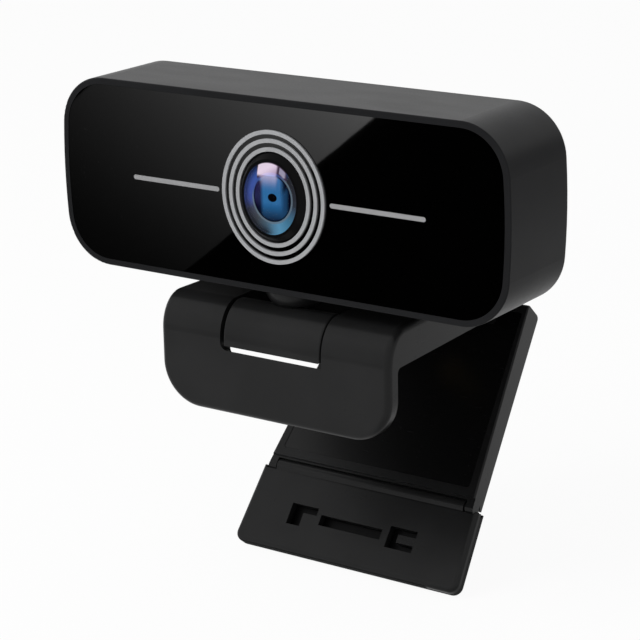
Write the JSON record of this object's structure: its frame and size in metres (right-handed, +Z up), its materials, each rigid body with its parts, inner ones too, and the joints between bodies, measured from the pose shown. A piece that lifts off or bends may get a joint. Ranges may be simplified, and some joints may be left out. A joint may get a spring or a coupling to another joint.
{
  "type": "monitor webcam",
  "caption": "Monitor webcam: a flat, wide camera head with a ringed lens, on a swivel and tilt knuckle, over a screen clip with a front lip and a folding leg.",
  "frame": {"origin": "on the face of the seat pad under the clip's arm, where the screen's top edge bears, midway across the width", "axes": "the lens looks along -Y, +Y points away behind the camera, +X is to the right seen from in front of the lens, +Z is up"},
  "size_m": [0.0934, 0.0624, 0.094],
  "materials": {
    "satin_black": "satin",
    "clip_black": "fine satin",
    "panel_gloss": "high gloss",
    "ring_silver": "bright",
    "trim_silver": "satin",
    "collar_black": "gloss",
    "lens_glass": "coated",
    "optic_black": "matte",
    "filter_glass": "coated",
    "sensor_face": "gloss",
    "board_green": "satin",
    "inner_grey": "matte",
    "capsule_metal": "satin",
    "soft_rubber": "matte",
    "steel": "satin",
    "brass": "turned",
    "leg_gloss": "gloss"
  },
  "bodies": {
    "clip": {"clip_arm": "clip_black", "seat_pad": "soft_rubber", "lip_pad": "soft_rubber", "tripod_insert": "brass", "tilt_pin": "steel", "pin_plug": "clip_black", "leg_pin": "steel"},
    "neck": {"neck_knuckle": "clip_black", "swivel_spring": "steel", "swivel_washer": "steel", "swivel_screw": "steel"},
    "head": {"head_housing": "satin_black", "front_panel": "panel_gloss", "lens_ring_outer": "ring_silver", "lens_ring_middle": "ring_silver", "lens_ring_inner": "ring_silver", "mic_trim_left": "trim_silver", "mic_trim_right": "trim_silver", "lens_collar": "collar_black", "front_lens": "lens_glass", "lens_barrel": "optic_black", "inner_lens": "lens_glass", "rear_lens": "lens_glass", "aperture_stop": "optic_black", "lens_holder": "optic_black", "ir_filter": "filter_glass", "image_sensor": "sensor_face", "main_board": "board_green", "board_screws": "steel", "chassis": "inner_grey", "chassis_screws": "steel", "mic_capsules": "capsule_metal", "mic_gaskets": "soft_rubber", "cable_gland": "soft_rubber"},
    "leg": {"leg_frame": "clip_black", "leg_pad": "leg_gloss", "foot_pin": "steel"},
    "foot": {"foot_shell": "clip_black", "foot_cover": "clip_black", "foot_screws": "steel"}
  },
  "joints": [
    {"name": "head_tilt", "type": "hinge", "parent": "clip", "child": "neck", "pos_m": [0, -0.0215, 0.0037], "axis": [1, 0, 0], "range_deg": [-1, 30]},
    {"name": "head_swivel", "type": "hinge", "parent": "neck", "child": "head", "pos_m": [0, -0.0179, 0.01107], "axis": [0, 0, 1], "range_deg": [-90, 90]},
    {"name": "leg_fold", "type": "hinge", "parent": "clip", "child": "leg", "pos_m": [0, 0.0323, -0.0047], "axis": [1, 0, 0], "range_deg": [-25, 75]},
    {"name": "foot_fold", "type": "hinge", "parent": "leg", "child": "foot", "pos_m": [0, 0.0053, -0.03448], "axis": [1, 0, 0], "range_deg": [-50, 20]}
  ]
}
